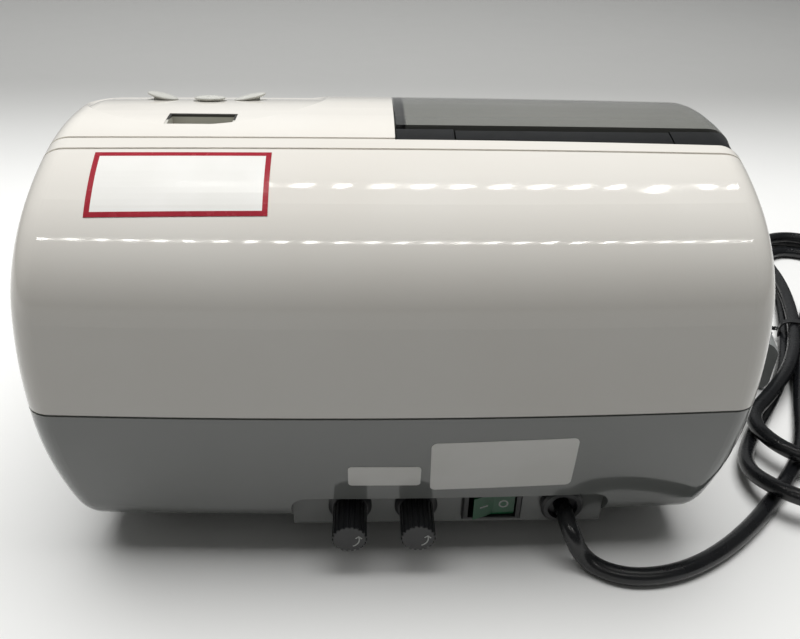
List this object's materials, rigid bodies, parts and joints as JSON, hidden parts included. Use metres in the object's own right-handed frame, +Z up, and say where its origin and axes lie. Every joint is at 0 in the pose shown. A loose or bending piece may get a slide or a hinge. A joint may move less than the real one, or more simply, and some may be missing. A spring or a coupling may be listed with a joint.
{
  "type": "dental amalgamator",
  "caption": "Bench capsule mixer with a smoked hinged lid, a skewed-bearing capsule fork, a tilted display and button panel, a socket panel and a mains lead",
  "frame": {"origin": "centre of the footprint on the table, under the middle of the housing", "axes": "+Z up, +Y towards the socket panel and hinge side, +X towards the display and buttons, lid on -X"},
  "size_m": [0.405, 0.2738, 0.1451],
  "materials": {
    "white_abs": "high-gloss moulded ABS",
    "grey_abs": "high-gloss moulded ABS",
    "smoked_lid": "translucent smoked polycarbonate",
    "black_abs": "black moulded plastic",
    "liner_plastic": "moulded chamber liner",
    "button_plastic": "moulded button cap",
    "display_filter": "dark display filter",
    "rubber": "moulded rubber",
    "steel": "machined and ground steel",
    "zinc_sheet": "zinc-plated sheet",
    "aluminium": "cast and machined aluminium",
    "motor_paint": "motor enamel",
    "laminations": "stacked electrical steel",
    "copper": "enamelled copper and terminals",
    "brass": "brass contacts",
    "board_green": "glass-epoxy board with solder mask",
    "component_black": "moulded component body",
    "glass_clear": "glass fuse tube",
    "rocker_green": "translucent green rocker",
    "cord_sheath": "PVC cord sheath",
    "plug_grey": "moulded plug shell",
    "nickel": "nickel-plated brass pins"
  },
  "bodies": {
    "machine": {"base_tray": "grey_abs", "rear_shell": "white_abs", "top_shell": "white_abs", "hinge_blocks": "black_abs", "chamber_liner": "liner_plastic", "restraint_spring": "steel", "motor_can": "motor_paint", "stator": "laminations", "motor_bearings": "steel", "chassis_plate": "zinc_sheet", "rubber_mounts": "rubber", "pillow_block": "aluminium", "motor_cradles": "zinc_sheet", "motor_straps": "zinc_sheet", "power_board": "board_green", "transformer_core": "laminations", "transformer_coil": "copper", "capacitors": "component_black", "control_board": "board_green", "display_module": "component_black", "display_window": "display_filter", "tact_switches": "component_black", "lid_sensor": "component_black", "fuse_holders": "black_abs", "fuse_nuts": "black_abs", "switch_housing": "black_abs", "mains_cord": "cord_sheath", "cord_bushing": "black_abs", "cord_tie": "black_abs", "cord_hank": "cord_sheath", "plug_body": "plug_grey", "plug_pins": "nickel", "feet": "rubber", "housing_screws": "zinc_sheet", "motor_bells": "aluminium", "long_screws": "zinc_sheet", "board_screws": "zinc_sheet", "terminals": "brass"},
    "lid": {"lid": "smoked_lid", "hinge_bar": "black_abs", "lid_magnet": "nickel", "hinge_pin": "steel"},
    "shaft": {"motor_shaft": "steel", "skew_journal": "steel", "journal_washer": "steel", "balance_weight": "steel", "rotor": "laminations", "cooling_fan": "component_black"},
    "fork": {"fork_arm": "aluminium", "fork_bearing": "steel", "jaw_pin": "steel"},
    "jaw": {"capsule_jaw": "aluminium"},
    "button_1": {"button_1": "button_plastic"},
    "button_2": {"button_2": "button_plastic"},
    "button_3": {"button_3": "button_plastic"},
    "rocker": {"rocker": "rocker_green"},
    "fuse_1": {"glass_fuse_1": "glass_clear"},
    "fuse_2": {"glass_fuse_2": "glass_clear"},
    "fuse_cap_1": {"fuse_cap_1": "black_abs"},
    "fuse_cap_2": {"fuse_cap_2": "black_abs"}
  },
  "joints": [
    {"name": "lid_hinge", "type": "hinge", "parent": "machine", "child": "lid", "pos_m": [0, 0.0486, 0.13985], "axis": [-1, 0, 0], "range_deg": [0, 80]},
    {"name": "shaft_spin", "type": "hinge", "parent": "machine", "child": "shaft", "pos_m": [0, -0.008, 0.057], "axis": [1, 0, 0], "continuous": true},
    {"name": "fork_wobble", "type": "hinge", "parent": "shaft", "child": "fork", "pos_m": [-0.052, -0.008, 0.057], "axis": [0.9945, 0, 0.1045], "continuous": true},
    {"name": "jaw_spring", "type": "hinge", "parent": "fork", "child": "jaw", "pos_m": [-0.03533, -0.008, 0.09646], "axis": [0, 1, 0], "range_deg": [0, 14], "stiffness_Nm_per_rad": 0.6, "springref_deg": -11.46},
    {"name": "button_1_press", "type": "slide", "parent": "machine", "child": "button_1", "axis": [0, 0.1219, -0.9925], "range_m": [0, 0.0008], "stiffness_N_per_m": 600, "springref_m": -0.0005},
    {"name": "button_2_press", "type": "slide", "parent": "machine", "child": "button_2", "axis": [0, 0.1219, -0.9925], "range_m": [0, 0.0008], "stiffness_N_per_m": 600, "springref_m": -0.0005},
    {"name": "button_3_press", "type": "slide", "parent": "machine", "child": "button_3", "axis": [0, 0.1219, -0.9925], "range_m": [0, 0.0008], "stiffness_N_per_m": 600, "springref_m": -0.0005},
    {"name": "rocker_tilt", "type": "hinge", "parent": "machine", "child": "rocker", "pos_m": [-0.0349, 0.083, 0.0188], "axis": [0, 0, -1], "range_deg": [0, 22]},
    {"name": "fuse_1_draw", "type": "slide", "parent": "machine", "child": "fuse_1", "axis": [0, 1, 0], "range_m": [0, 0.034]},
    {"name": "fuse_1_twist", "type": "hinge", "parent": "fuse_1", "child": "fuse_cap_1", "pos_m": [0.0162, 0.084, 0.0188], "axis": [0, -1, 0], "range_deg": [0, 90]},
    {"name": "fuse_2_draw", "type": "slide", "parent": "machine", "child": "fuse_2", "axis": [0, 1, 0], "range_m": [0, 0.034]},
    {"name": "fuse_2_twist", "type": "hinge", "parent": "fuse_2", "child": "fuse_cap_2", "pos_m": [-0.0074, 0.084, 0.0188], "axis": [0, -1, 0], "range_deg": [0, 90]}
  ],
  "couplings": [
    {"joint": "fork_wobble", "follows": "shaft_spin", "ratio": -1}
  ]
}
